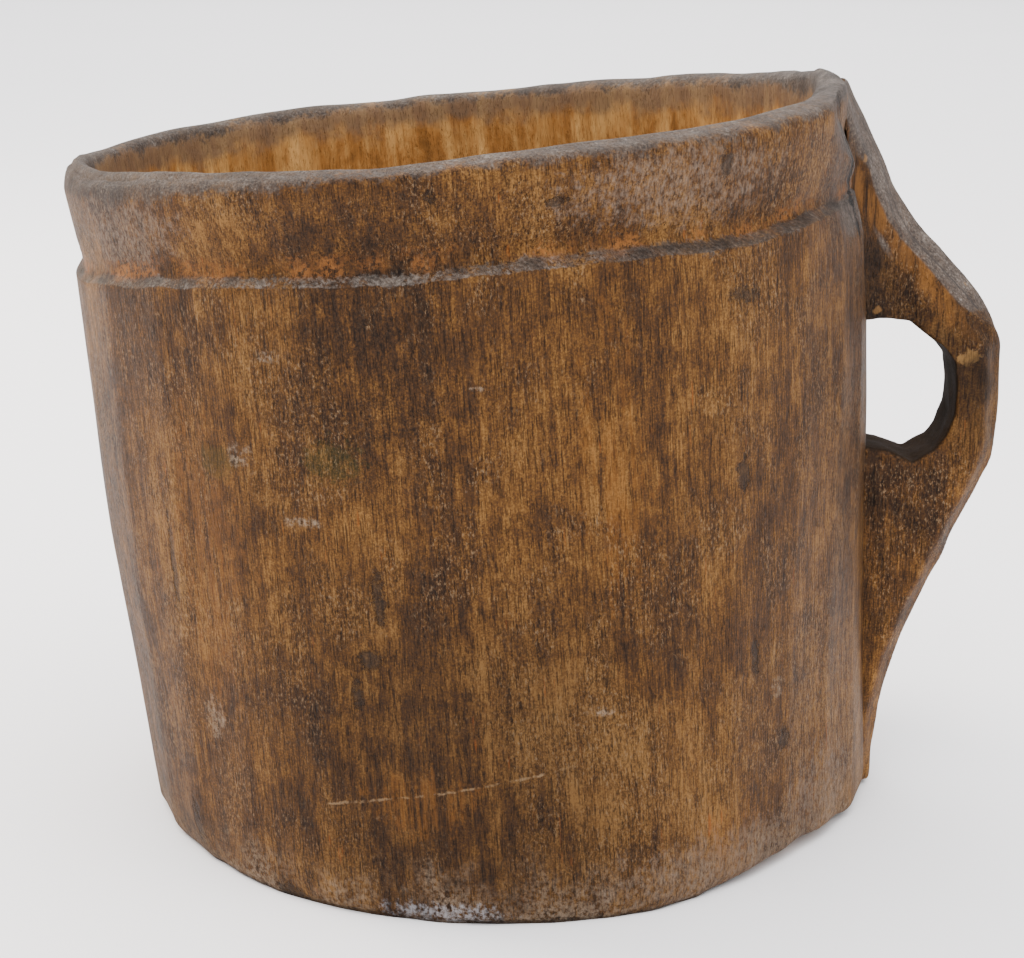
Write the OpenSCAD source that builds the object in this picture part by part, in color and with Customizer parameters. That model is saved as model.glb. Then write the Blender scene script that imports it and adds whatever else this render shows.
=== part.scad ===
// Dipping cup hollowed from a log: the wall is one length of log, the bottom board sits in a
// groove inside it, and the handle board is let into its side with a sliding dovetail.
// Millimetres. +Z is up, +X points at the handle, and the origin is the middle of the base.

/* [Wall] */
// Outside diameter of the log at the base
base_d = 180; // [160:1:200]
// Outside diameter of the log at the rim
rim_d = 192; // [180:1:206]
// Height of the rim above the middle of the base
mid_h = 167; // [150:1:185]
// Lean of the log's axis away from the handle, in degrees
lean = 4.2; // [2:0.1:5.5]
// Rise of the rim toward the handle, in degrees
rim_slope = 5.9; // [4:0.1:8]
// Wall thickness at the rim, opposite the handle
rim_wall = 6.5; // [5:0.5:9]
// Wall thickness at the base, opposite the handle
base_wall = 9; // [8:0.5:12]
// Wall thickness behind the handle, from base to rim
handle_wall = 12; // [11:0.5:15]

/* [Rim band] */
// Height of the band cut back below the rim
band_h = 25; // [18:1:34]
// Depth of the cut at the foot of the band
band_cut = 1.6; // [0.8:0.2:3]
// Depth of the cut at the rim
edge_cut = 0.4; // [0.3:0.1:0.6]
// Height of the sloping ledge at the foot of the band
ledge_h = 2; // [1:0.5:4]
// Width of the worn bevels on the rim
rim_bevel = 1.8; // [1:0.2:2.4]

/* [Bottom board] */
// Thickness of the board
board_t = 11; // [9:0.5:14]
// Thickness of its edge, which sits in the groove
tongue_t = 5; // [4:0.5:7]
// Height of the groove's middle above the base
groove_z = 17; // [14:1:24]
// Depth of the groove in the wall
groove_cut = 3.5; // [2.5:0.5:4]
// Width of the bevels that thin the board's edge
board_bevel = 7; // [5:0.5:12]

/* [Handle] */
// Distance from the middle of the base to the handle's outer edge
handle_x = 120; // [116:1:130]
// Thickness of the board at the wall
root_t = 23; // [20:1:28]
// Thickness of the board at its outer edge
edge_t = 16; // [12:1:20]
// Height of the shoulder, where the sloping ridge ends
shoulder_z = 120; // [115:1:126]
// Height of the elbow, where the outer edge turns back to the wall
elbow_z = 80; // [70:1:86]
// Fall of the facets on both sides of the ridge, in degrees
ridge_fall = 33; // [20:1:45]
// Width of the finger hole
hole_w = 22.5; // [19:0.5:24]
// Height of the finger hole
hole_h = 35.5; // [30:0.5:37]
// Height of the finger hole's middle
hole_z = 102; // [99:0.5:104]

/* [Dovetail] */
// Width of the dovetail's inner face at the base
tail_w = 18; // [14:1:19]
// Depth of the dovetail in the wall
tail_cut = 5; // [4:0.5:5.5]
// Height at which the dovetail stops below the rim
tail_top = 132; // [110:1:140]
// Flare of each flank, in degrees
tail_flare = 10; // [6:1:14]
// Taper of each flank toward the rim, in degrees
tail_taper = 0.4; // [0.1:0.1:0.6]
// Clearance in the groove, in the dovetail and between the handle and the wall
play = 0.1; // [0.05:0.05:0.3]

/* [Hidden] */
$fn = 96;

// Turns revolved shapes, so that the lines where their faces close on themselves don't meet
seam = 57;

base_r = base_d / 2;
rim_r = rim_d / 2;
// Where the axis of the log and that of the hollow meet the height of the rim's middle
log_x = -mid_h * tan(lean);
hollow_x = log_x + (rim_wall - handle_wall) / 2;
// The hollow is set off from the middle of the base too, for the thicker wall behind the handle
hollow_base_x = (base_wall - handle_wall) / 2;
hollow_base_r = base_r - (base_wall + handle_wall) / 2;
hollow_rim_r = rim_r - (rim_wall + handle_wall) / 2;
// The line of the wall's outside behind the handle
side_x = log_x + rim_r;
side_lean = atan2(side_x - base_r, mid_h);
// The bottom board is level, so its middle is that of the hollow at the groove
board_x = hollow_base_x + (hollow_x - hollow_base_x) * groove_z / mid_h;
board_r = hollow_base_r + (hollow_rim_r - hollow_base_r) * groove_z / mid_h + groove_cut;
// Foot of the handle, just clear of the ground
foot_z = 1;
peak_z = mid_h + rim_r * sin(rim_slope);
// The ridge falls in two runs, steeper at the rim
ridge = [
    [side_x - 3, peak_z],
    [base_r + 3, shoulder_z + 31],
    [handle_x - 3.5, shoulder_z]
];

// A cone on an axis from [low_x, 0, 0] to [high_x, 0, mid_h], run on past both ends
module leaning_cone(low_x, low_r, high_x, high_r, over = 30) {
    run = norm([high_x - low_x, mid_h]);
    flare = (high_r - low_r) / run;
    translate([low_x, 0, 0])
        rotate([0, atan2(high_x - low_x, mid_h), 0])
            translate([0, 0, -over])
                cylinder(h = run + 2 * over, r1 = low_r - flare * over, r2 = high_r + flare * over);
}

// The outside of the log, grown by gap
module log_cone(gap = 0) leaning_cone(0, base_r + gap, log_x, rim_r + gap);

// Places its children on the rim's plane, at the middle of the rim
module at_rim(x = 0)
    translate([log_x, 0, mid_h]) rotate([0, -rim_slope, 0]) translate([x, 0, 0]) children();

// Section of the bottom board, grown by gap all round to make the groove
module board_section(gap = 0) {
    half = board_t / 2 + gap;
    edge = tongue_t / 2 + gap;
    polygon([
        [0, -half], [board_r - board_bevel, -half], [board_r + gap, -edge],
        [board_r + gap, edge], [board_r - board_bevel, half], [0, half]
    ]);
}

module board_solid(gap = 0)
    translate([board_x, 0, groove_z]) rotate([0, 0, seam]) rotate_extrude() board_section(gap);

// The dovetail, wider toward the base, along the wall's outside line
module tail(gap = 0) {
    reach = 4;
    translate([base_r, 0, 0]) rotate([0, side_lean, 0])
        difference() {
            translate([-tail_cut - gap, -tail_w, -10])
                cube([tail_cut + reach, 2 * tail_w, tail_top + gap + 10]);
            for (side = [0, 1]) mirror([0, side, 0])
                translate([-tail_cut, tail_w / 2 + gap, 0])
                    rotate([tail_taper, 0, -tail_flare])
                        translate([-20, 0, -30]) cube([40, 40, tail_top + 60]);
        }
}

// Everything that lies under the rim: its outer edge, the cut-back band and the ledge at its foot
module under_rim() {
    foot_r = rim_r + (base_r - rim_r) * band_h / mid_h;
    edge_r = rim_r - edge_cut;
    at_rim() rotate([0, 0, seam]) rotate_extrude() polygon([
        [0, 0], [edge_r - rim_bevel, 0], [edge_r, -rim_bevel],
        [foot_r - band_cut, ledge_h - band_h], [foot_r + 40, ledge_h - band_h - 40 * ledge_h / band_cut],
        [foot_r + 40, -300], [0, -300]
    ]);
}

module wall()
    color("peru")
        difference() {
            difference() {
                intersection() {
                    log_cone();
                    under_rim();
                    translate([-200, -200, 0]) cube([400, 400, 300]);
                }
                leaning_cone(hollow_base_x, hollow_base_r, hollow_x, hollow_rim_r, 40);
            }
            // The worn bevel inside the rim
            at_rim(hollow_x - log_x) translate([0, 0, -20]) rotate([0, 0, 2 * seam])
                cylinder(h = 30, r1 = hollow_rim_r + rim_bevel - 20, r2 = hollow_rim_r + rim_bevel + 10);
            board_solid(play);
            tail(play);
        }

module bottom_board()
    color("burlywood") board_solid();

// Side outline of the handle board, reaching into the wall where the log trims it
module handle_outline() {
    polygon([
        [side_x - 30, foot_z], [base_r + 2.5, foot_z], [base_r + 6, 18],
        [base_r + 12, 46], [handle_x - 3, elbow_z - 2], [handle_x, elbow_z + 8],
        [handle_x, shoulder_z - 14], ridge[2], ridge[1], ridge[0], [side_x - 30, peak_z]
    ]);
}

module finger_hole() {
    r = hole_w / 2;
    translate([handle_x - 12 - r, hole_z]) {
        for (end = [-1, 1]) translate([0, end * (hole_h / 2 - r)]) circle(r = r);
        square([hole_w, hole_h - hole_w], center = true);
    }
}

// The waste on both sides of the ridge, leaving a narrow flat along its top
module ridge_waste() {
    for (i = [0, 1]) {
        fall = ridge[i + 1] - ridge[i];
        translate([ridge[i].x, 0, ridge[i].y]) rotate([0, atan2(-fall.y, fall.x), 0])
            for (side = [0, 1]) mirror([0, side, 0])
                translate([-1, 1, 0]) rotate([-ridge_fall, 0, 0])
                    cube([norm(fall) + 2, 30, 20]);
    }
}

module handle()
    color("sienna") {
        difference() {
            intersection() {
                rotate([90, 0, 0]) linear_extrude(height = 60, center = true)
                    difference() { handle_outline(); finger_hole(); }
                linear_extrude(height = 300) polygon([
                    [side_x - 30, -root_t / 2], [base_r, -root_t / 2], [handle_x, -edge_t / 2],
                    [handle_x, edge_t / 2], [base_r, root_t / 2], [side_x - 30, root_t / 2]
                ]);
            }
            log_cone(play);
            ridge_waste();
        }
        difference() {
            tail();
            translate([0, -50, foot_z - 50]) cube([200, 100, 50]);
            translate([base_r - 1, -50, hole_z - hole_h / 2]) cube([50, 100, hole_h]);
        }
    }

wall();
bottom_board();
handle();
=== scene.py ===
# %% [markdown]
# # A dipping cup hollowed from a log
#
# The cup is three pieces of wood. The wall is a length of log, hollowed right through, with a
# slanted rim. A round board closes it from below, and a board with a finger hole is let into its
# side as a handle. The packed model already holds the sizes and joints. Here each piece is made
# again with the shape that an axe, a gouge and a century of hands give it, and with the look of
# old, waxed wood. Everything is in metres, on the packed model's own frame.

# %% Load the packed model
from math import cos, pi, radians, sin, tan

import bpy
import numpy as np
from mathutils import Matrix, Vector


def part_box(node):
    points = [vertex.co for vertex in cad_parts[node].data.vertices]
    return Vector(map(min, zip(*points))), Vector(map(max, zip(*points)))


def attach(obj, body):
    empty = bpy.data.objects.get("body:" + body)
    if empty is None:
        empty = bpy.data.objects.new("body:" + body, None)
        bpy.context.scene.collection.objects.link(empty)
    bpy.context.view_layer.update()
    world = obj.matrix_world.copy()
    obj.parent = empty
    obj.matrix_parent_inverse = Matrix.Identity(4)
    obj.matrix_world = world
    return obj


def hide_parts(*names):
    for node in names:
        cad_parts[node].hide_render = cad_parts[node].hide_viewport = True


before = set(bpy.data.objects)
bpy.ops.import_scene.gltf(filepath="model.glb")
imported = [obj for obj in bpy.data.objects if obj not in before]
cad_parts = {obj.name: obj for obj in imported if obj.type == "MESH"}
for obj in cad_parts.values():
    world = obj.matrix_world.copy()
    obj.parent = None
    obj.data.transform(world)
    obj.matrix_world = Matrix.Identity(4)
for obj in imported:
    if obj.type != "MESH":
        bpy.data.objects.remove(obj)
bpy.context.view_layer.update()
wall_low, wall_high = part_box("wall")
handle_low, handle_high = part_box("handle")
board_low, board_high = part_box("bottom_board")
MM = 0.001
print("packed wall:", [round(v / MM, 1) for v in wall_high - wall_low], "mm")

# %% [markdown]
# ## The sizes of the log
#
# The packed boxes give the outer sizes. The log leans away from the handle, its rim rises toward
# the handle, and the wall is thicker behind it, where the handle is let in. Each of these is a
# straight line from base to rim, so a few helpers say where the wood is at any height.

# %% Sizes of the log
base_r = 90 * MM
rim_r = 96 * MM
rim_z = 167 * MM
lean = radians(4.2)
rim_slope = radians(5.9)
rim_x = -rim_z * tan(lean)
rim_wall, base_wall, handle_wall = 6.5 * MM, 9 * MM, 12 * MM
band = 25 * MM
ledge = 2.4 * MM


def between(low, high, share):
    """The value at a share of the way from low to high."""
    return low + (high - low) * share


def outside(z):
    """Middle and radius of the log's outside at a height."""
    return between(0, rim_x, z / rim_z), between(base_r, rim_r, z / rim_z)


def inside(z):
    """Middle and radius of the hollow at a height."""
    low_x, low_r = (base_wall - handle_wall) / 2, base_r - (base_wall + handle_wall) / 2
    high_x, high_r = rim_x + (rim_wall - handle_wall) / 2, rim_r - (rim_wall + handle_wall) / 2
    return between(low_x, high_x, z / rim_z), between(low_r, high_r, z / rim_z)


print("rim middle at", round(rim_x / MM, 1), "mm; hollow at the rim", round(inside(rim_z)[1] / MM, 1))

# %% [markdown]
# ## Camera, floor and light
#
# The cup stands on a plain pale floor and is seen from a little above its rim, with a long lens,
# so the rim is a narrow slanted oval. The light is that of a small studio with a large white
# ceiling, which lights the floor and the rim. Small soft lights at the left, at the right and in
# front model the round wall, and a pale room fills the shadows. One strong lamp would be simpler,
# but it would put a hard shadow on the floor and a hot stripe on the wood.

# %% Helpers that select and aim
def deselect():
    if bpy.context.mode != "OBJECT":
        bpy.ops.object.mode_set(mode="OBJECT")
    bpy.ops.object.select_all(action="DESELECT")


def only(piece):
    """Selects one object and makes it the active one."""
    deselect()
    piece.select_set(True)
    bpy.context.view_layer.objects.active = piece
    return piece


def pick(piece, kind, test):
    """Opens a piece for editing with just those of its vertices or faces selected that pass a test."""
    only(piece)
    bpy.ops.object.mode_set(mode="EDIT")
    bpy.ops.mesh.select_mode(type="VERT" if kind == "vertices" else "FACE")
    bpy.ops.mesh.select_all(action="DESELECT")
    bpy.ops.object.mode_set(mode="OBJECT")
    for part in getattr(piece.data, kind):
        part.select = bool(test(part))
    bpy.ops.object.mode_set(mode="EDIT")


def look_at(thing, target, roll=0.0):
    """Turns a camera or a light toward a point."""
    aim = (Vector(target) - thing.location).to_track_quat("-Z", "Y").to_matrix()
    thing.rotation_euler = (aim @ Matrix.Rotation(roll, 3, "Z")).to_euler()


# %% Camera
camera_back, camera_up = 593.8 * MM, 222.4 * MM
look_down_degrees = 13.72
look_down = radians(look_down_degrees)
bpy.ops.object.camera_add(location=(0, -camera_back, camera_up))
camera = bpy.context.object
camera.data.lens = 86.2
camera.data.clip_start = 0.01
look_at(camera, camera.location + Vector((0, cos(look_down), -sin(look_down))), roll=0.005)
bpy.context.scene.camera = camera
print("camera:", camera.data.lens, "mm lens, looking down", look_down_degrees, "degrees")

# %% Floor
deselect()
bpy.ops.mesh.primitive_plane_add(size=16, location=(0, 0, 0))
floor = bpy.context.object
floor.name = "studio_floor"
print("floor:", round(floor.dimensions.x), "m wide")

# %% Lights
def soft_light(name, place, target, size, watts, tint=(1, 1, 1)):
    bpy.ops.object.light_add(type="AREA", location=place)
    light = bpy.context.object
    light.name = name
    light.data.shape = "RECTANGLE"
    light.data.size, light.data.size_y = size
    light.data.energy = watts
    light.data.color = tint
    look_at(light, target)
    return light


cup_middle = (0, 0, 90 * MM)
soft_light("ceiling_softbox", (0, 1.9, 3.5), (0, 1.9, 0), (5, 9), 640)
soft_light("left_softbox", (-1.05, 0.5, 0.85), cup_middle, (0.6, 0.6), 26, (1.0, 0.91, 0.80))
soft_light("right_softbox", (1.0, -0.5, 0.8), cup_middle, (0.6, 0.7), 6)
soft_light("front_softbox", (-0.3, -1.0, 1.0), cup_middle, (0.6, 0.5), 9)

room = bpy.data.worlds.new("pale_room")
room.use_nodes = True
sky = room.node_tree.nodes["Background"].inputs
sky["Color"].default_value = (0.95, 0.96, 1.0, 1)
sky["Strength"].default_value = 1.0
bpy.context.scene.world = room
print("lights:", len(bpy.data.lights))

# %% [markdown]
# ## Helpers for the wood
#
# Hand-worked wood has no straight line in it. Each piece is first modelled clean, by the
# modelling operators, and then worked over: a Displace modifier moves each point by an amount
# that a formula of its place gives, as a knife or a gouge would. The formulas use `ripple`, a sum
# of waves in all directions, which is smooth and the same on each run.

# %% Ripples, bumps and steps as formulas
def ripple(places, size, seed, stretch=(1, 1, 1)):
    """Smooth random waves of about this size at each place, from about -1 to 1."""
    dice = np.random.default_rng(seed)
    waves = dice.normal(size=(18, 3)) * 2.2 / size
    turns = dice.uniform(0, 2 * pi, 18)
    return np.sin((places / np.array(stretch)) @ waves.T + turns).sum(1) / 5


def step(low, high, value):
    """0 below low and 1 above high, with a smooth rise between."""
    t = np.clip((value - low) / (high - low), 0, 1)
    return t * t * (3 - 2 * t)


def hill(value, middle, width):
    """1 at the middle, falling smoothly to about 0 a width away."""
    return np.exp(-((value - middle) / width) ** 2 * 2.5)


print("a step half way up:", step(0, 1, 0.5), "and a hill at its foot:", round(hill(1, 0, 1), 2))

# %% Move the points of a piece by a formula
def points(piece):
    flat = np.empty(len(piece.data.vertices) * 3)
    piece.data.vertices.foreach_get("co", flat)
    return flat.reshape(-1, 3)


def apply(piece, kind, **settings):
    """Adds a modifier with these settings and applies it."""
    only(piece)
    modifier = piece.modifiers.new(kind.title(), kind)
    for key, value in settings.items():
        setattr(modifier, key, value)
    bpy.ops.object.modifier_apply(modifier=modifier.name)


def work(piece, how_far, along="NORMAL"):
    """Moves each point by how_far(points), in metres, outward or along an axis."""
    for sign in (1, -1):
        far = np.clip(sign * how_far(points(piece)), 0, None)
        most = far.max()
        if most < 1e-6:
            continue
        group = piece.vertex_groups.new(name="worked")
        for i in np.flatnonzero(far > most * 1e-3):
            group.add([int(i)], float(far[i] / most), "REPLACE")
        apply(piece, "DISPLACE", direction=along, vertex_group="worked", mid_level=0,
              strength=float(sign * most))
        piece.vertex_groups.clear()

# %% [markdown]
# ## The wall
#
# The wall is a ring with a long profile: up the outside, over the ledge and the cut-back band,
# across the rim, down the hollow, and round the groove for the bottom board. The profile is drawn
# point by point, by extruding one vertex, and `spin` turns it once round. It could also be drawn
# up from a circle, ring by ring, but a spin is one step and its rows are as easy to place.

# %% Draw a line, point by point
def draw_line(name, places):
    """A chain of edges through these places, drawn by extruding one vertex."""
    deselect()
    bpy.ops.mesh.primitive_plane_add(size=MM, location=places[0])
    piece = bpy.context.object
    piece.name = piece.data.name = name
    bpy.ops.object.transform_apply(location=True)
    bpy.ops.object.mode_set(mode="EDIT")
    bpy.ops.mesh.select_mode(type="VERT")
    bpy.ops.mesh.select_all(action="SELECT")
    bpy.ops.mesh.merge(type="CENTER")
    for here, there in zip(places, places[1:]):
        way = Vector(there) - Vector(here)
        bpy.ops.mesh.extrude_region_move(TRANSFORM_OT_translate={"value": way})
    bpy.ops.object.mode_set(mode="OBJECT")
    return piece

# %% Profile of the wall
foot_edge = 4.5 * MM
ledge_z = rim_z - band
cut = 2.3 * MM
crest = 3.2 * MM
groove_z, groove_cut = (board_low.z + board_high.z) / 2, 3.5 * MM

profile = [(base_r - foot_edge * (1 - sin(a)), foot_edge * (1 - cos(a)))
           for a in np.linspace(0, pi / 2, 7)]
profile += [(outside(z)[1], z) for z in np.linspace(foot_edge, ledge_z - ledge, 88)[1:]]
profile += [(outside(ledge_z)[1] - cut * t, ledge_z - ledge * (1 - t))
            for t in np.linspace(0, 1, 7)[1:]]
edge_r = rim_r - 0.4 * MM
profile += [(between(outside(ledge_z)[1] - cut, edge_r, t ** 1.3), between(ledge_z, rim_z - crest, t))
            for t in np.linspace(0, 1, 22)[1:]]
middle_r, half = (edge_r + inside(rim_z)[1]) / 2, (edge_r - inside(rim_z)[1]) / 2
profile += [(middle_r + half * cos(a), rim_z - crest * (1 - sin(a) ** 0.7))
            for a in np.linspace(0, pi, 15)[1:-1]]
profile += [(inside(z)[1], z) for z in np.linspace(rim_z - crest, rim_z - 30 * MM, 22)]
profile += [(inside(z)[1], z) for z in np.linspace(rim_z - 30 * MM, groove_z + 4.1 * MM, 38)[1:]]
profile += [(inside(groove_z)[1] + groove_cut, groove_z + 2.6 * MM),
            (inside(groove_z)[1] + groove_cut, groove_z - 2.6 * MM),
            (inside(groove_z)[1], groove_z - 4.1 * MM), (inside(0)[1], 6 * MM),
            (inside(0)[1], 1.5 * MM), (inside(0)[1] + 1.5 * MM, 0), (base_r - foot_edge, 0)]
print(len(profile), "points in the wall's profile")

# %% Turn the profile into the wall
wall = draw_line("log_wall", [(r, 0, z) for r, z in profile])
bpy.ops.object.mode_set(mode="EDIT")
bpy.ops.mesh.select_all(action="SELECT")
bpy.ops.mesh.spin(steps=360, angle=2 * pi, center=(0, 0, 0), axis=(0, 0, 1))
bpy.ops.mesh.select_all(action="SELECT")
bpy.ops.mesh.remove_doubles(threshold=0.02 * MM)
bpy.ops.mesh.normals_make_consistent(inside=False)
bpy.ops.object.mode_set(mode="OBJECT")
print("wall:", len(wall.data.polygons), "faces")

# %% [markdown]
# The wall is worked over while it still stands upright, where a place on it is just an angle, a
# radius and a height. The drawknife leaves soft flats down the outside, the gouge leaves flutes
# down the inside, and the rim and the foot are worn by use.

# %% Work the wall over
def on_log(places):
    """Angle in degrees from the handle, radius and height of each place on the upright log."""
    x, y, z = places.T
    return np.degrees(np.arctan2(y, x)), np.hypot(x, y), z


def is_outside(places):
    angle, radius, z = on_log(places)
    middle = (outside(z)[1] + inside(z)[1]) / 2
    return step(-1 * MM, 1 * MM, radius - middle)


def flats(places, width, depth, seed):
    """Soft flats about this wide, side by side round the log and running up it."""
    angle, radius, z = on_log(places)
    wander = ripple(places, 90 * MM, seed, (1, 1, 3)) * 5
    share = np.modf((angle + wander + 720) / width)[0]
    return -depth * (1 - (2 * share - 1) ** 2)


def hand_work(places):
    angle, radius, z = on_log(places)
    out = is_outside(places)
    foot = step(14 * MM, 2 * MM, z)
    below_rim = step(rim_z - 6 * MM, rim_z - 24 * MM, z)
    rough = 0.45 * MM * ripple(places, 42 * MM, 3, (1, 1, 1.6))
    rough = rough + 0.12 * MM * ripple(places, 9 * MM, 4, (1, 1, 2.5))
    chipped_foot = foot * 0.5 * MM * np.abs(ripple(places, 16 * MM, 6))
    outer = flats(places, 13.5, 0.35 * MM, 5) * below_rim - chipped_foot
    inner = flats(places, 9, 0.9 * MM, 7) * below_rim * step(2 * MM, 12 * MM, z)
    return rough + out * outer + (1 - out) * inner


def turn_from(angle, middle):
    """Degrees from a direction, the short way round."""
    return (angle - middle + 180) % 360 - 180


def swollen(places):
    """The log's butt swells toward the front and is dressed flat beside the handle."""
    angle, radius, z = on_log(places)
    front = 6.8 * hill(turn_from(angle, -100), 0, 68) - 3.5 * hill(turn_from(angle, -42), 0, 30)
    side = 1.3 * hill(z, 90 * MM, 70 * MM) - 1.9 * step(75 * MM, 5 * MM, z)
    far_side = hill(turn_from(angle, 180), 0, 60)
    return is_outside(places) * MM * (front * step(125 * MM, 0, z) + side * far_side)


work(wall, hand_work)
work(wall, swollen)
print("wall, worked over:", [round(v / MM, 1) for v in np.ptp(points(wall), axis=0)], "mm")

# %% [markdown]
# The rim has never been level: it dips and rises by a millimetre or so, its outer edge is worn
# round on the side away from the handle, where the cup is drunk from, and the ledge is ragged.

# %% Wear the rim and the ledge
def wavy_rim(places):
    angle, radius, z = on_log(places)
    top = step(rim_z - 16 * MM, rim_z - 1 * MM, z)
    dips = 1.6 * hill(angle, 0, 26) - 1.6 * hill(turn_from(angle, 105), 0, 50)
    return top * MM * (dips + 0.5 * ripple(places, 40 * MM, 11) + 0.12 * ripple(places, 11 * MM, 12))


def worn_edge(places):
    angle, radius, z = on_log(places)
    top = step(rim_z - 6.5 * MM, rim_z - 0.5 * MM, z)
    lip = 0.35 + 0.65 * hill(np.abs(angle), 165, 75)
    return -is_outside(places) * top * lip * (2.2 * MM + 0.5 * MM * ripple(places, 8 * MM, 13))


def ragged_ledge(places):
    angle, radius, z = on_log(places)
    near = hill(z, ledge_z, 6 * MM) * is_outside(places)
    return near * MM * (0.5 * ripple(places, 22 * MM, 14) + 0.3 * ripple(places, 6 * MM, 15))


def shallow_band(places):
    """The band is cut less deep where it meets the handle."""
    angle, radius, z = on_log(places)
    return 1.3 * MM * hill(angle, 0, 30) * is_outside(places) * step(ledge_z - 1.5 * MM, ledge_z + MM, z)


def crumbled(places):
    """Wood has broken out of the band just over the ledge."""
    angle, radius, z = on_log(places)
    near = hill(z, ledge_z + 2 * MM, 4 * MM) * is_outside(places)
    return -near * MM * (0.3 + 0.35 * np.abs(ripple(places, 5 * MM, 16)))


work(wall, wavy_rim, "Z")
work(wall, worn_edge)
work(wall, ragged_ledge, "Z")
work(wall, crumbled)
work(wall, shallow_band)
print("rim, worn: highest point at", round(points(wall)[:, 2].max() / MM, 1), "mm")

# %% [markdown]
# The pattern of the wood is now fixed to it. Each point keeps its place on the upright log as an
# attribute, and the materials read that, so the pattern stays with the wood however the points are
# moved afterwards. Object coordinates would do for a straight log, but here they would cut through
# the grain where the log leans. The ledge is lifted after that, and its crumbs move with it.

# %% Keep each point's place on the upright log
def keep_places(piece, name="log_place"):
    """Stores where each point is now, as an attribute that the materials read."""
    kept = piece.data.attributes.new(name, "FLOAT_VECTOR", "POINT")
    kept.data.foreach_set("vector", points(piece).ravel())


keep_places(wall)
print("kept the places of", len(wall.data.vertices), "points")

# %% Lift the ledge where it was cut high
around = [-180, -165, -125, -100, -75, -50, -25, 0, 180]
lift = [1.2, 1.6, 4.0, 3.9, 3.0, 0.8, 2.3, 2.0, 1.2]


def lifted_ledge(places):
    """The line was cut by eye, and runs a few millimetres higher across the front."""
    angle, radius, z = on_log(places)
    high = np.interp(angle, around, lift)
    return high * MM * hill(z, ledge_z, 24 * MM) * is_outside(places)


work(wall, lifted_ledge, "Z")
print("ledge lifted by", min(lift), "to", max(lift), "mm")

# %% [markdown]
# ## The lean, and the room for the handle
#
# The log leans back and its rim rises toward the handle. Turning the whole wall would lift its
# foot, so its points slide sideways and upward by formulas instead. The handle sits in a seat cut
# into the wall, wood has torn away on both sides of it, and the rim's corner is cut along the
# handle's ridge. A boolean could cut all that, but it leaves long thin faces that show in soft
# light, so the wall's own points are pushed in. That is done before the log leans, with the
# handle's outline worked out for the leaning log, because the rows of points still lie straight.

# %% Lean and slant as formulas
def lean_over(places):
    """The middle of the outside moves straight with the height, and that of the hollow a little more."""
    angle, radius, z = on_log(places)
    share = np.clip((outside(z)[1] - radius) / (outside(z)[1] - inside(z)[1]), 0, 1)
    return between(outside(z)[0], inside(z)[0], share)


def slant(places):
    z = places[:, 2]
    return (places[:, 0] - rim_x * z / rim_z) * tan(rim_slope) * step(20 * MM, 140 * MM, z)


print("the rim leans over by", round(-rim_x / MM, 1), "mm")

# %% Edge of the handle, from its foot to the rim
outline_marks = [(0.8, 91), (8, 91.4), (15, 92.2), (22, 93), (28, 94.2), (34, 95.8), (40, 98), (47, 101),
                 (54, 104), (62, 107.6), (70, 111.4), (77, 115), (84, 118), (91, 119), (104, 119.2),
                 (113, 118.8), (118.5, 118), (122.5, 116), (129, 110.5), (134, 106), (139, 101.4),
                 (145, 96.8), (151, 92.4), (158, 89), (165, 85.4), (172, 82), (178.6, 79.3)]
marks_z, marks_x = (np.array(v) * MM for v in zip(*outline_marks))


def ridge_x(z):
    """How far out the handle's edge is at a height."""
    return np.interp(z, marks_z, marks_x)


def facet_fall(y, z):
    """How far the facets beside the ridge have fallen at a distance from the middle."""
    front = np.interp(z / MM, [124, 145, 158, 175], [0.78, 0.66, 0.36, 0.21])
    return front * np.clip(MM - y, 0, None) + 0.5 * np.clip(y - MM, 0, 20 * MM)


print("the handle's edge is marked at", len(outline_marks), "heights")

# %% Cut the seat, the torn sides and the rim's corner
seat_deep, torn_deep = 4.6 * MM, 3.6 * MM


def made_room(places):
    """How far the wall is pushed in under the handle, beside it and over it."""
    angle, radius, z = on_log(places)
    depth_share = np.clip((radius - inside(z)[1]) / (outside(z)[1] - inside(z)[1]) / 0.75, 0, 1)
    x, y, z = places.T
    x = x + lean_over(places)
    z = z + (x - rim_x * z / rim_z) * tan(rim_slope) * step(20 * MM, 140 * MM, z)
    near = step(60 * MM, 30 * MM, np.abs(y)) * step(140 * MM, 160 * MM, z)
    corner = np.clip(x - ridge_x(z) + facet_fall(y, z), 0, torn_deep) * near
    ragged = 0.8 * MM * ripple(places, 7 * MM, 18)
    wide = np.interp(z / MM, [124, 130, 148, 160, 178], [12.5, 17, 23, 25.5, 27]) * MM
    torn = torn_deep * step(0, 2 * MM, wide + ragged - np.abs(y)) * step(124 * MM, 136 * MM, z + ragged)
    at_hole = step(81 * MM, 84 * MM, z) * step(124 * MM, 121 * MM, z)
    seat = seat_deep * step(12.3 * MM, 10.9 * MM, np.abs(y)) * (1 - at_hole)
    return -np.maximum(corner, np.maximum(torn, seat)) * (x > 0) * depth_share


work(wall, made_room, "X")
print("seat:", round(seat_deep / MM, 1), "mm deep, torn sides:", round(torn_deep / MM, 1), "mm deep")

# %% Lean the log and slant its rim
work(wall, lean_over, "X")
work(wall, slant, "Z")
work(wall, lambda places: np.clip(-places[:, 2], 0, None), "Z")
print("wall from", [round(v / MM, 1) for v in points(wall).min(0)], "to",
      [round(v / MM, 1) for v in points(wall).max(0)], "mm")
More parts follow.
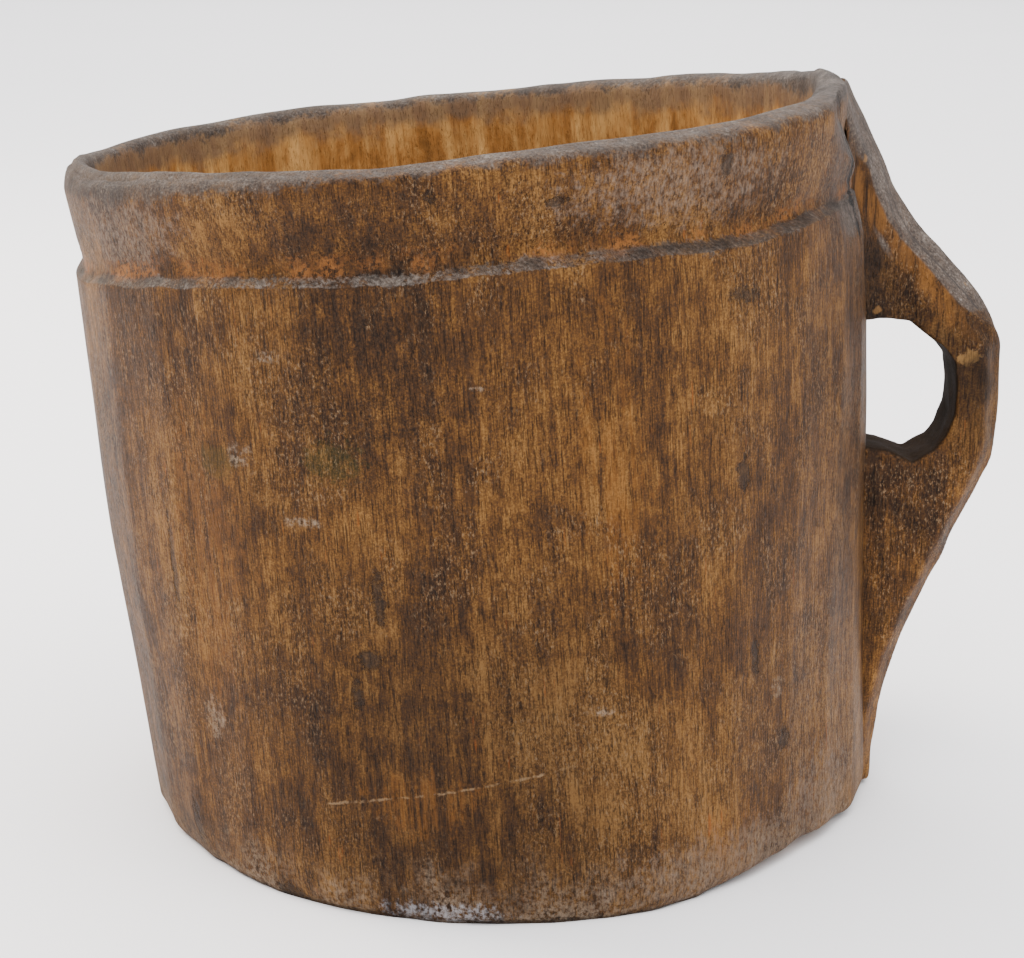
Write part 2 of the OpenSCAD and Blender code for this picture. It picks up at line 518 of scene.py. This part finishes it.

# %% [markdown]
# Dust and wear gather on wood that faces upward, such as the ledge and the rim, and the ledge's top
# is also painted paler as a highlight, so each point also keeps how far it faces up. The shader could
# work that out from the normal, but its own bumps would then speckle the answer, while a value kept
# at the points follows just the worked shape.

# %% Keep what the finish needs to know about the worked surface
def facing(piece):
    """The outward direction at each point."""
    flat = np.empty(len(piece.data.vertices) * 3)
    piece.data.vertex_normals.foreach_get("vector", flat)
    return flat.reshape(-1, 3)


def keep_share(piece, name, shares):
    """Stores a number for each point."""
    kept = piece.data.attributes.new(name, "FLOAT", "POINT")
    kept.data.foreach_set("value", np.asarray(shares, dtype=np.float32))


def smooth(piece):
    only(piece)
    bpy.ops.object.shade_smooth_by_angle(angle=radians(40))


keep_share(wall, "upward", facing(wall)[:, 2])
smooth(wall)
print("points of the wall that face up:", int((facing(wall)[:, 2] > 0.5).sum()))

# %% [markdown]
# ## The handle
#
# The handle is a board on edge, like a fin. It could be sculpted from a block, but its side outline
# says most about it, so that is drawn as a line from the foot to the rim. The line is pulled back
# into the wall, and the sheet is then given its thickness.

# %% Side outline of the handle
reach = handle_high.x
edge_z = np.linspace(marks_z[0], marks_z[-1] - 1.8 * MM, 70)
handle = draw_line("handle_board", [(x, 0, z) for x, z in zip(ridge_x(edge_z), edge_z)])
root_t = handle_high.y - handle_low.y
bpy.ops.object.mode_set(mode="EDIT")
bpy.ops.mesh.select_all(action="SELECT")
bpy.ops.mesh.extrude_region_move(TRANSFORM_OT_translate={"value": (-45 * MM, 0, 0)})
bpy.ops.mesh.select_all(action="SELECT")
bpy.ops.transform.translate(value=(0, -root_t / 2, 0))
bpy.ops.mesh.extrude_region_move(TRANSFORM_OT_translate={"value": (0, root_t, 0)})
bpy.ops.mesh.select_all(action="SELECT")
bpy.ops.mesh.normals_make_consistent(inside=False)
bpy.ops.object.mode_set(mode="OBJECT")
print("handle outline:", len(edge_z), "stations")

# %% [markdown]
# An even skin of small faces is now laid over the board by remeshing, because its points can then
# be moved anywhere. The board thins outward to suit the hand, its sides are hollowed above the
# finger hole, it widens into the wall under the rim, and its sloping edge is cut in two facets.

# %% Shape the handle's sides, ridge and flanks
def thin_out(places):
    """The board thins from the wall to its outer edge, whose corners are worn round."""
    x, y, z = places.T
    share = np.clip((x - base_r) / (reach - base_r), 0, 1)
    corner = 0.4 * step(5 * MM, 0, ridge_x(z) - x) * step(122 * MM, 112 * MM, z)
    return -y * (share * 0.3 + corner)


def flared(places):
    """Under the rim the board widens into the wall with a hollow curve."""
    x, y, z = places.T
    middle, radius = outside(z)
    clear = np.hypot(x - middle, y) - radius + 3.5 * MM
    wide = np.interp(z / MM, [118, 130, 148, 160, 178], [0, 3, 9, 11, 13]) * MM
    return wide * y / (root_t / 2) * np.exp(-np.clip(clear, 0, None) / (5 * MM))


def ridge_facets(places):
    """The sloping edge is cut in facets, one toward the front and one toward the back."""
    x, y, z = places.T
    deep = (ridge_x(z) - x) * 0.84
    return -facet_fall(y, z) * (1 - step(0, 15 * MM, deep)) * step(112 * MM, 124 * MM, z)


def flank_hollows(places):
    x, y, z = places.T
    hollow = hill(z, 132 * MM, 20 * MM) * hill(x, 95 * MM, 13 * MM)
    return -np.sign(y) * 2.6 * MM * hollow * step(0, 6 * MM, np.abs(y))


apply(handle, "REMESH", mode="VOXEL", voxel_size=1.0 * MM)
work(handle, thin_out, "Y")
work(handle, flared, "Y")
work(handle, ridge_facets, "X")
work(handle, flank_hollows, "Y")
print("handle:", len(handle.data.polygons), "faces after shaping")

# %% [markdown]
# The log's own outside cuts the handle's back, made smaller by the depth of the seat. A prism with
# the uneven outline of a whittled slot cuts the finger hole. Both cuts are booleans, since their
# edges really are cuts, and the remeshing that follows welds them into the skin and rounds them.

# %% Tools that cut the handle
def cut_with(piece, tool, how="DIFFERENCE"):
    apply(piece, "BOOLEAN", operation=how, solver="EXACT", object=tool)
    bpy.data.objects.remove(tool)


deselect()
bpy.ops.mesh.primitive_cone_add(vertices=240, radius1=base_r - seat_deep, radius2=rim_r - seat_deep,
                                depth=rim_z, location=(0, 0, rim_z / 2))
log = bpy.context.object
bpy.ops.object.transform_apply(location=True)
pick(log, "polygons", lambda face: face.normal.z > 0.9)
bpy.ops.transform.translate(value=(rim_x, 0, 0))
# The rim rises toward the handle, so the log is drawn on past it
bpy.ops.mesh.extrude_region_move(TRANSFORM_OT_translate={"value": (0.1 * rim_x, 0, 0.1 * rim_z)})
bpy.ops.object.mode_set(mode="OBJECT")
cut_with(handle, log)

hole_marks = [(75, 120.5), (89, 120), (96.2, 119.2), (104.6, 113), (107.6, 109), (108.3, 103), (108, 96),
              (106.2, 91), (103.6, 87.6), (98, 84.6), (91, 87.2), (75, 90)]
slot = draw_line("finger_hole", [(x * MM, -30 * MM, z * MM) for x, z in hole_marks])
bpy.ops.object.mode_set(mode="EDIT")
bpy.ops.mesh.select_all(action="SELECT")
bpy.ops.mesh.edge_face_add()
bpy.ops.mesh.extrude_region_move(TRANSFORM_OT_translate={"value": (0, 60 * MM, 0)})
bpy.ops.mesh.select_all(action="SELECT")
bpy.ops.mesh.normals_make_consistent(inside=False)
bpy.ops.object.mode_set(mode="OBJECT")
cut_with(handle, slot)
print("handle:", len(handle.data.polygons), "faces before remeshing")

# %% [markdown]
# Use has worn the whole handle, so the skin is smoothed and given the small unevenness of knife
# and hand. Its points keep two more values for the finish: how far they lie on the ridge, which
# is grey, and how far inside the finger hole, which is painted near-black with its shade.

# %% Wear the handle
apply(handle, "REMESH", mode="VOXEL", voxel_size=0.62 * MM)
apply(handle, "SMOOTH", factor=0.5, iterations=6)


def handle_wear(places):
    broad = 0.45 * ripple(places, 22 * MM, 21, (1, 1, 1.6))
    return MM * (broad + 0.22 * ripple(places, 6.5 * MM, 22, (1, 1, 1.4)))


work(handle, handle_wear)
keep_places(handle)
print("handle:", len(handle.data.polygons), "faces")

# %% Keep where the handle's ridge and finger hole are
x, y, z = points(handle).T
outward = facing(handle) @ [0.84, 0, 0.54]
near_edge = step(22 * MM, 11 * MM, ridge_x(z) - x)
not_flared = np.maximum(step(15 * MM, 11 * MM, np.abs(y)), step(150 * MM, 160 * MM, z))
keep_share(handle, "ridge", outward * step(116 * MM, 126 * MM, z) * near_edge * not_flared)

hole_x, hole_z = 96 * MM, 102 * MM
from_hole = np.hypot((x - hole_x) / 13, (z - hole_z) / 19) / MM
keep_share(handle, "hole", step(1.25, 1.0, from_hole) * step(0.85, 0.5, np.abs(facing(handle)[:, 1])))
smooth(handle)
print("points in the finger hole:", int((from_hole < 1).sum()))

# %% [markdown]
# ## The bottom board
#
# A hollowed log needs a board to hold milk. Its edge is thinned from both sides, so that it sits in
# the wall's groove. It could be spun from a profile like the wall, but it is a plain disc, so a
# cylinder as thick as the edge is drawn out and drawn in on both faces. Remeshing then lets its
# faces be worked uneven.

# %% Model the bottom board
board_r = (board_high.x - board_low.x) / 2
board_x = (board_high.x + board_low.x) / 2
tongue, bevel = 5 * MM, 7 * MM
deselect()
bpy.ops.mesh.primitive_cylinder_add(vertices=160, radius=board_r, depth=tongue,
                                    location=(board_x, 0, groove_z))
board = bpy.context.object
board.name = board.data.name = "round_board"
bpy.ops.object.transform_apply(location=True)
for side in (1, -1):
    pick(board, "polygons", lambda face: face.normal.z * side > 0.9)
    rise = (board_high.z - board_low.z - tongue) / 2
    bpy.ops.mesh.extrude_region_move(TRANSFORM_OT_translate={"value": (0, 0, side * rise)})
    shrink = 1 - bevel / board_r
    bpy.ops.transform.resize(value=(shrink, shrink, 1), center_override=(board_x, 0, 0))
    bpy.ops.object.mode_set(mode="OBJECT")
apply(board, "REMESH", mode="VOXEL", voxel_size=1.2 * MM)
apply(board, "SMOOTH", factor=0.5, iterations=3)


def board_work(places):
    return 0.3 * MM * ripple(places, 18 * MM, 31, (1, 3, 1)) - 0.3 * MM


work(board, board_work)
keep_places(board)
smooth(board)
print("board:", len(board.data.polygons), "faces")

# %% [markdown]
# ## Writing wood as sums
#
# A wood finish is layers: a ground tone that wanders, streaks along the grain, open pores, grey
# wear where hands and tables rub, dark dirt where nothing rubs. Each layer is a mask from 0 to 1,
# worked out with sums, and `Value` lets a sum of node sockets be written like any other sum.
# `Finish.node` adds all other nodes, with their settings first and then their inputs.

# %% Sums of sockets
class Value:
    """A socket of a finish's nodes that can be added, multiplied and so on."""

    def __init__(self, finish, socket):
        self.finish, self.socket = finish, socket

    def maths(self, operation, *others):
        inputs = dict(enumerate((self, *others)))
        return self.finish.node("ShaderNodeMath", {"operation": operation}, inputs)

    def __add__(self, other):
        return self.maths("ADD", other)

    def __sub__(self, other):
        return self.maths("SUBTRACT", other)

    def __mul__(self, other):
        return self.maths("MULTIPLY", other)

    def __truediv__(self, other):
        return self.maths("DIVIDE", other)

    def __rsub__(self, other):
        return self * -1 + other

    def __abs__(self):
        return self.maths("ABSOLUTE")

    __radd__, __rmul__ = __add__, __mul__

    def clamp(self):
        return self.finish.node("ShaderNodeClamp", {}, {"Value": self})

    def rise(self, low, high):
        """0 below low, 1 above high, smooth between. High may be under low, for a fall."""
        if high < low:
            return 1 - self.rise(high, low)
        return self.finish.node("ShaderNodeMapRange", {"interpolation_type": "SMOOTHSTEP"},
                                {"Value": self, "From Min": low, "From Max": high})


# %% [markdown]
# A finish is one material. `Finish` adds its nodes one after another, and its short methods stand
# for the few node types that wood needs, so a layer reads as one line of a recipe.

# %% Nodes of a finish
class Finish:
    """One material, built a node at a time on the points' places, in millimetres."""

    def __init__(self, name):
        self.material = bpy.data.materials.new(name)
        self.material.use_nodes = True
        self.tree = self.material.node_tree
        self.shader = self.tree.nodes["Principled BSDF"]

    def node(self, kind, settings, inputs, output=0):
        made = self.tree.nodes.new(kind)
        for key, value in settings.items():
            setattr(made, key, value)
        for key, value in inputs.items():
            self.plug(made.inputs[key], value)
        return Value(self, made.outputs[output])

    def plug(self, socket, value):
        if isinstance(value, Value):
            self.tree.links.new(value.socket, socket)
        else:
            socket.default_value = (*value, 1) if socket.type == "RGBA" and len(value) == 3 else value

    def place(self, attribute="log_place"):
        """Each point's place on the unworked piece, in millimetres."""
        kept = self.node("ShaderNodeAttribute", {"attribute_name": attribute}, {}, "Vector")
        return self.scaled(kept, (1 / MM, 1 / MM, 1 / MM))

    def share(self, attribute):
        """A number that was kept at each point."""
        return self.node("ShaderNodeAttribute", {"attribute_name": attribute}, {}, "Fac")

    def scaled(self, vector, by):
        return self.node("ShaderNodeVectorMath", {"operation": "MULTIPLY"}, {0: vector, 1: by})

    def parts(self, vector):
        split = self.node("ShaderNodeSeparateXYZ", {}, {0: vector})
        return [Value(self, out) for out in split.socket.node.outputs]

    def noise(self, vector, size, detail=3, roughness=0.55, bend=0.0):
        """Even noise round 0.5, in lumps of about this many millimetres."""
        return self.node("ShaderNodeTexNoise", {}, {"Vector": vector, "Scale": 1 / size,
                         "Detail": detail, "Roughness": roughness, "Distortion": bend})

    def mix(self, share, first, second):
        return self.node("ShaderNodeMix", {"data_type": "RGBA"}, {0: share, 6: first, 7: second}, 2)

    def shade(self, colour, by):
        """Darkens or lightens a colour by a value."""
        grey = self.node("ShaderNodeCombineColor", {}, {0: by, 1: by, 2: by})
        return self.node("ShaderNodeMix", {"data_type": "RGBA", "blend_type": "MULTIPLY"},
                         {0: 1.0, 6: colour, 7: grey}, 2)

    def ramp(self, value, *stops):
        """Colours along a value, each stop a position and a colour."""
        made = self.node("ShaderNodeValToRGB", {}, {0: value})
        band = made.socket.node.color_ramp
        while len(band.elements) < len(stops):
            band.elements.new(0.5)
        for stop, (at, colour) in zip(band.elements, stops):
            stop.position, stop.color = at, (*colour, 1)
        return made

    def finish(self, colour, roughness, height, depth, **constants):
        """Connects the layers to the shader. Height is in shares of the depth, in metres."""
        self.plug(self.shader.inputs["Base Color"], colour)
        self.plug(self.shader.inputs["Roughness"], roughness)
        bump = self.node("ShaderNodeBump", {}, {"Height": height, "Distance": depth, "Strength": 1.0})
        self.plug(self.shader.inputs["Normal"], bump)
        for name, value in constants.items():
            self.plug(self.shader.inputs[name.replace("_", " ")], value)
        return self.material


print("node types of a finish:", [name for name in vars(Finish) if not name.startswith("_")])

# %% [markdown]
# ## The finish of the old wood
#
# The log is a hard, ring-porous wood. Its pores run up the wall as fine dark dashes, a third of a
# millimetre wide and a few millimetres long. A century of fat and smoke has browned it unevenly,
# with golden streaks where the surface is rubbed and dark patches where it isn't, and it has
# greyed where it is handled most: on the rim, along the handle's ridge and at the foot.

# %% Layers that every piece of the wood has
umber, brown = (0.018, 0.008, 0.003), (0.046, 0.0185, 0.0045)
amber, gold = (0.085, 0.036, 0.007), (0.165, 0.080, 0.022)
tan_wood = (0.20, 0.13, 0.07)
rust, dust = (0.19, 0.052, 0.006), (0.20, 0.145, 0.10)
soot, ash = (0.030, 0.024, 0.021), (0.17, 0.145, 0.125)


def along_grain(f, place, stretch=0.06, axis=2):
    """The place with one axis squeezed, so that noise on it draws out along the grain."""
    by = [1.0, 1.0, 1.0]
    by[axis] = stretch
    return f.scaled(place, by)


def old_wood(f, place, axis=2, dark=0.0):
    """The ground colour of the wood, and its height."""
    grain = along_grain(f, place, 0.055, axis)
    patches = f.noise(along_grain(f, place, 0.6, axis), 34, 5, 0.6, 0.6)
    streaks = f.noise(grain, 2.2, 4, 0.65)
    threads = f.noise(grain, 0.42, 2, 0.6)
    smudges = f.noise(place, 7, 5, 0.7, 0.4)
    speckle = f.noise(place, 0.45, 2, 0.6)
    tone = (patches - 0.5) * 1.7 + (streaks - 0.5) * 1.1 + (threads - 0.5) * 1.0 \
        + (smudges - 0.5) * 1.2 + (speckle - 0.5) * 1.2 + 0.5 - dark
    colour = f.ramp(tone.clamp(), (0.0, umber), (0.36, brown), (0.62, amber), (1.0, gold))
    pores = f.noise(along_grain(f, place, 0.1, axis), 0.3, 1, 0.5).rise(0.58, 0.68)
    colour = f.shade(colour, 1 - pores * 0.5)
    flecks = f.noise(along_grain(f, place, 0.12, axis), 1.3, 2, 0.5).rise(0.68, 0.76)
    colour = f.mix(flecks * patches.rise(0.45, 0.6) * 0.6, colour, rust)
    dull = f.noise(along_grain(f, place, 0.7, axis), 16, 4, 0.65, 0.5).rise(0.44, 0.60)
    grit = f.noise(along_grain(f, place, 0.5, axis), 0.55, 3, 0.75)
    colour = f.shade(colour, 1 - dull * grit.rise(0.52, 0.36) * 0.55)
    colour = f.mix(dull * grit.rise(0.54, 0.68) * 0.6, colour, tan_wood)
    height = threads * 0.35 + streaks * 0.3 + smudges * 0.35 + grit * dull * 0.6 - pores * 0.5
    return colour, height


def worn_grey(f, place, light=0.0):
    """Grey, open-pored wood, mottled light and dark, lighter or darker by a value."""
    coarse, fine = f.noise(place, 5, 4, 0.7), f.noise(place, 0.7, 3, 0.7)
    tone = (coarse - 0.5) * 1.6 + (fine - 0.5) * 2.2 + 0.42 + light
    return f.ramp(tone.clamp(), (0.0, soot), (0.5, (0.075, 0.06, 0.05)), (1.0, ash))


print("the wood's tones run from", umber, "to", gold)

# %% [markdown]
# ## The finish of the wall
#
# The wall's finish could be painted by hand on an unrolled surface, but layers worked out from each
# point's place on the upright log follow the grain all round and stay sharp close up. Outside it
# starts from the ground colour that all the wood has. The hollow is warmer wood, and it is painted
# paler still for the light that falls into it, with a grey-brown edge under the rim. Low on the front
# the wood is darker.

# %% Start the wall's finish
f = Finish("old_log_wood")
place = f.place()
x, y, z = f.parts(place)
angle = y.maths("ARCTAN2", x) * (180 / pi)
mm_per_degree = 1.65
arc = angle * mm_per_degree
under_rim = rim_z / MM - z
edge_noise = f.noise(place, 9, 4, 0.65)
fine = f.noise(place, 1.2, 4, 0.7)
ragged = f.noise(place, 2.5, 4, 0.75)
colour, height = old_wood(f, place)
print("one degree round the wall is", mm_per_degree, "mm")

# %% Warmer wood in the hollow, painted paler for its light, and dark wood low on the front
hollow = ((x * x + y * y).maths("SQRT") - z * 0.04).rise(86, 83.5)
outer = 1 - hollow
clouds = f.noise(along_grain(f, place, 0.45), 12, 5, 0.68, 0.8)
lines = f.noise(along_grain(f, place, 0.1), 3, 3, 0.6)
# The hollow's wood is painted paler than its own colour, standing in for the light that falls on the inner
# wall
warm_and_lit = f.ramp((clouds * 0.6 + lines * 0.4).clamp(),
              (0.34, (0.10, 0.042, 0.009)), (0.46, (0.24, 0.10, 0.022)), (0.62, (0.46, 0.25, 0.08)))
colour = f.mix(hollow * (0.62 + edge_noise * 0.4).clamp(), colour, warm_and_lit)
inner_edge = hollow * (under_rim + (edge_noise - 0.5) * 16).rise(12, 6)
colour = f.mix(inner_edge * 0.7, colour, (0.085, 0.06, 0.042))
low_dark = abs(angle + 93).rise(34, 8) * z.rise(95, 45)
colour = f.shade(colour, 1 - low_dark * 0.38)
print("wall finish so far:", len(f.tree.nodes), "nodes")

# %% [markdown]
# Now the marks of use, each a ragged spot on the outside: pale dust rubbed into the band and the
# foot, rusty streaks, a roughened dark field, faint green stains, cracks and creases painted dark
# with their shade, pale scuffs and one long scratch. Each could be a drawn decal, but noise that eats
# into an oval looks more like wear.

# %% Ragged spots
def patch(degrees_round, up, wide, high):
    """A ragged spot at an angle from the handle and a height, with its half width and half height."""
    across, along = (arc - degrees_round * mm_per_degree) / wide, (z - up) / high
    return (across * across + along * along + (ragged - 0.5) * 6.5).rise(1.5, 0.1) * outer


def most(*masks):
    """The strongest of some masks at each point."""
    whole = masks[0]
    for mask in masks[1:]:
        whole = whole.maths("MAXIMUM", mask)
    return whole


creases = ((-138, 77, 1.0, 13), (-141, 9, 2, 6), (-51, 130, 4, 2), (-53, 159, 1.4, 3.5), (-52, 93, 2.2, 3),
           (-50, 52, 1.2, 4), (-43, 31, 1.8, 3), (-93, 159, 1.5, 1.8), (-77, 155, 2.6, 1),
           (-104, 75, 1.5, 5.5), (-106, 60, 2.6, 2), (-108, 52, 1.2, 4), (-121, 1, 4, 2.4))
scuffs = ((-89, 119, 1.8, 0.6), (-76, 48, 3.4, 0.9), (-133, 39, 3, 5), (-117, 127, 4, 0.9),
          (-123, 106, 3, 2.4), (-114, 91, 5, 1.2), (-45, 44, 2.5, 2.5))
print(len(creases), "dark creases and", len(scuffs), "pale scuffs")

# %% Dust, rusty streaks, the rough field and the green stains
dusty = most(patch(-142, 153, 20, 9), patch(-60, 156, 26, 9), patch(-57, 6, 30, 9), patch(-32, 12, 16, 12))
powder = f.noise(along_grain(f, place, 0.5), 0.9, 4, 0.75).rise(0.34, 0.68)
colour = f.mix(dusty * powder * 0.63, colour, (0.16, 0.115, 0.085))
rusty = most(patch(-100, 28, 12, 8), patch(-56, 14, 9, 6), patch(-131, 80, 12, 34), patch(-72, 100, 8, 30))
streaks = f.noise(along_grain(f, place), 1.6, 3, 0.6).rise(0.42, 0.6)
colour = f.mix(rusty * streaks * 0.3, colour, (0.17, 0.062, 0.008))
rough_field = patch(-104, 124, 17, 26) * 0.8
colour = f.shade(colour, 1 - rough_field * f.noise(place, 0.6, 2, 0.7).rise(0.42, 0.62) * 0.62)
green = most(patch(-127, 104, 5, 4), patch(-109, 105, 7, 5))
colour = f.mix(green * 0.3, colour, (0.022, 0.026, 0.004))
print("wall finish so far:", len(f.tree.nodes), "nodes")

# %% Creases, scuffs and the scratch
# Cracks and creases are painted near-black for the shade inside them, and sunk a little by the bump
shaded_crease = most(*(patch(*spot) for spot in creases))
colour = f.mix(shaded_crease * (0.25 + fine).clamp() * 0.85, colour, (0.013, 0.009, 0.007))
scuff = most(*(patch(*spot) for spot in scuffs))
colour = f.mix(scuff * fine.rise(0.42, 0.64) * 0.7, colour, dust)
scratch_up, scratch_slope = 62.9, 0.2
scratch = abs(z - arc * scratch_slope - scratch_up + (ragged - 0.5) * 1.5).rise(0.4, 0.12)
scratch = scratch * arc.rise(-198, -190) * arc.rise(-130, -138)
scratch = scratch * outer * f.noise(place, 4, 3, 0.7).rise(0.45, 0.6)
colour = f.mix(scratch * 0.55, colour, (0.20, 0.13, 0.07))
print("wall finish so far:", len(f.tree.nodes), "nodes")

# %% [markdown]
# The edges come last, since they are worn last. The rim has gone grey where it is touched, most on
# the side it is drunk from, and so has the wood round the handle's root. Dust and a painted highlight
# lie on the ledge, rusty crumbs stick over it and a painted shadow runs under it. The gaps beside the
# handle are painted near-black with their shade. The foot is dusty, with a white rub at the front and
# a painted contact shadow where it meets the ground.

# %% Grey rim and handle root
wear = worn_grey(f, place, (f.noise(place, 24, 3, 0.6) - 0.5) * 1.1 - 0.25)
upward = f.share("upward")
broken = (ragged - 0.5) * 9
crumbs = (under_rim + broken).rise(20, 24.5) * under_rim.rise(27, 25.5)
crumbs = crumbs * f.noise(place, 16, 3).rise(0.45, 0.62)
colour = f.mix(crumbs * fine.rise(0.42, 0.56) * 0.75, colour, (0.20, 0.075, 0.018))
handled = angle.rise(-95, -150) * 3.4
rubbed = (under_rim + (edge_noise - 0.5) * 11 + (fine - 0.5) * 5 - handled).rise(4.2, 1.4)
rubbed = rubbed * (0.35 + hollow * 0.1 + ragged * 0.9).clamp()
colour = f.mix(rubbed, colour, wear)
by_handle = (abs(angle) + (edge_noise - 0.5) * 12).rise(30, 18)
by_handle = by_handle * (upward + (fine - 0.5) * 0.4).rise(0.12, 0.3)
colour = f.mix(by_handle * 0.9, colour, wear)
print("wall finish so far:", len(f.tree.nodes), "nodes")

# %% Dusty ledge with painted highlight and shadow, shaded gaps and foot
# Pale grey on the up-facing ledge: dust, together with a painted highlight where its top faces up to the
# light
ledge_dust_and_highlight = (upward + (fine - 0.5) * 1.6 + (edge_noise - 0.5) * 1.2).rise(0.38, 0.75)
ledge_dust_and_highlight = ledge_dust_and_highlight * under_rim.rise(18, 22) * outer
ledge_grey = worn_grey(f, place, angle.rise(-60, -90) * 0.42 - 0.2)
colour = f.mix(ledge_dust_and_highlight * (0.2 + edge_noise).clamp(), colour, ledge_grey)
from_rim = under_rim + (fine - 0.5) * 2
# A painted shadow in the strip just under the ledge
ledge_shadow = from_rim.rise(24.6, 25.6) * from_rim.rise(28, 26) * outer
colour = f.shade(colour, 1 - ledge_shadow * edge_noise.rise(0.4, 0.6) * 0.5)
# The gaps between the wall and the handle are painted near-black with their shade
shaded_gap = most(patch(-17.2, 148, 1.0, 16), patch(-7.6, 18, 0.8, 13))
colour = f.mix(shaded_gap, colour, (0.006, 0.004, 0.003))
at_foot = (z + (edge_noise - 0.5) * 30).rise(16, 0) * f.noise(place, 22, 3, 0.6).rise(0.36, 0.60)
colour = f.mix(at_foot * fine.rise(0.38, 0.64) * 0.75, colour, dust)
white_rub = patch(-98, 2.5, 13, 2.4) * fine.rise(0.38, 0.62)
colour = f.mix(white_rub * 0.6, colour, (0.27, 0.27, 0.29))
# A painted contact shadow along the bottom of the foot, where it meets the floor
painted_contact_shadow = (z + (fine - 0.5) * 1.5).rise(1.6, 0.2)
colour = f.shade(colour, 1 - painted_contact_shadow * 0.6)
print("wall finish so far:", len(f.tree.nodes), "nodes")

# %% Sheen and relief of the wall
relief = 0.35 * MM
sheen = 0.12
roughness = (0.60 + (fine - 0.5) * 0.4 + rubbed * 0.12 + at_foot * 0.15 + ledge_dust_and_highlight * 0.2).clamp()
height = height - shaded_crease * 1.6 - shaded_gap * 2 - rubbed * fine * 0.5 - rough_field * fine * 0.5
wall.data.materials.append(f.finish(colour, roughness, height, relief, Specular_IOR_Level=sheen))
print("wall finish:", len(f.tree.nodes), "nodes")

# %% [markdown]
# ## The finish of the handle
#
# Hands have darkened the handle where fingers close round it, and the hollowed side above the finger
# hole is painted darker with its shade. The ridge is grey from the weather and from being set down,
# with a tawny strip beside it. It could share the wall's finish, but its wear follows its own edge.

# %% Ground of the handle, blots and the painted shade of its hollowed side
f = Finish("old_handle_wood")
place = f.place()
x, y, z = f.parts(place)
edge_noise = f.noise(place, 9, 4, 0.65)
fine = f.noise(place, 1.2, 4, 0.7)
colour, height = old_wood(f, place, dark=0.06)
blots = f.noise(along_grain(f, place, 0.7), 15, 4, 0.65, 0.5)
colour = f.shade(colour, 1.12 - blots.rise(0.5, 0.66) * 0.5)
# How far a place lies inside the sloping edge, which falls 0.79 mm outward for each 1 mm down
under_ridge = 211.6 - x - z * 0.79
# The hollowed side under the ridge is painted darker with its shade
flank_shade = (under_ridge + (edge_noise - 0.5) * 9).rise(11, 18) * z.rise(108, 118)
colour = f.shade(colour, 1 - flank_shade * (0.45 + edge_noise * 0.7).clamp() * 0.62)
strip = under_ridge + (edge_noise - 0.5) * 8
tawny = strip.rise(4, 8) * strip.rise(15, 10) * z.rise(112, 120)
streaks = f.noise(along_grain(f, place), 1.8, 3, 0.6).rise(0.36, 0.6)
colour = f.mix(tawny * streaks * 0.5, colour, (0.19, 0.078, 0.016))
print("handle finish so far:", len(f.tree.nodes), "nodes")

# %% Grey ridge, chips, grip, and painted shade along the ridge and in the finger hole
def spot_round(at_x, at_z, narrow, low, size, bite):
    """A ragged oval on the handle's side."""
    across, along = x - at_x, z - at_z
    eaten = (f.noise(place, size, 4, 0.7) - 0.5) * bite
    return across * across * narrow + along * along * low + eaten


ridge = (f.share("ridge") + (edge_noise - 0.5) * 0.3).rise(0.35, 0.6)
colour = f.mix(ridge * (0.55 + fine * 0.6).clamp(), colour, worn_grey(f, place, -0.05))
# A line along the ridge's front is painted near-black as shade under the facet's edge
ridge_line_shade = abs(y + 4.5 + (edge_noise - 0.5) * 2).rise(0.5, 0.15)
colour = f.mix(ridge_line_shade * ridge * 0.7, colour, soot)
chips = f.noise(place, 6, 2, 0.5).rise(0.68, 0.74)
colour = f.mix(chips * 0.5, colour, (0.22, 0.11, 0.035))
chip = spot_round(111, 110.5, 0.11, 0.3, 3, 6).rise(1.1, 0.4)
colour = f.mix(chip * 0.8, colour, (0.26, 0.14, 0.045))
smeared = spot_round(112, 105, 0.03, 0.02, 5, 4).rise(1.2, 0.2)
colour = f.shade(colour, 1 - smeared * 0.5)
colour = f.shade(colour, 1 + z.rise(92, 72) * 0.28)
grip = (x + (edge_noise - 0.5) * 8).rise(102, 110) * z.rise(76, 92) * (1 - ridge)
colour = f.shade(colour, 1 - grip * 0.4)
# Inside the finger hole the wood is painted near-black with its shade
shaded_hole = f.share("hole")
colour = f.mix((shaded_hole * (0.6 + edge_noise)).clamp() * 0.9, colour, (0.014, 0.008, 0.004))
roughness = (0.60 + (fine - 0.5) * 0.4 + ridge * 0.1 + shaded_hole * 0.4).clamp()
handle.data.materials.append(f.finish(colour, roughness, height, relief, Specular_IOR_Level=sheen))
print("handle finish:", len(f.tree.nodes), "nodes")

# %% [markdown]
# ## The bottom board and the floor
#
# The board is seen only from straight above. Its grain runs across it, so the shared wood is used
# with its grain turned. The floor is plain pale paper, with a faint cloud so that it isn't dead flat.

# %% Finish of the bottom board
f = Finish("old_board_wood")
place = f.place()
colour, height = old_wood(f, place, axis=1, dark=0.05)
roughness = (0.55 + (f.noise(place, 1.2, 4, 0.7) - 0.5) * 0.3).clamp()
board.data.materials.append(f.finish(colour, roughness, height, relief, Specular_IOR_Level=sheen))
print("board finish:", len(f.tree.nodes), "nodes")

# %% Finish of the floor
f = Finish("pale_paper")
coordinates = f.node("ShaderNodeTexCoord", {}, {}, "Object")
cloud = f.noise(coordinates, 0.7, 2)
f.plug(f.shader.inputs["Base Color"], f.mix(cloud, (0.80, 0.78, 0.785), (0.83, 0.81, 0.815)))
f.shader.inputs["Roughness"].default_value = 0.9
floor.data.materials.append(f.material)
print("floor finish:", len(f.tree.nodes), "nodes")

# %% [markdown]
# ## Ride and replace
#
# Each new piece takes the place of one packed node and rides the one body, since nothing moves.

# %% Tie the pieces to the frame
for piece, node, slot in ((wall, "wall", "wall_wood"), (handle, "handle", "handle_wood"),
                          (board, "bottom_board", "board_wood")):
    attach(piece, "root")
    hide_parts(node)
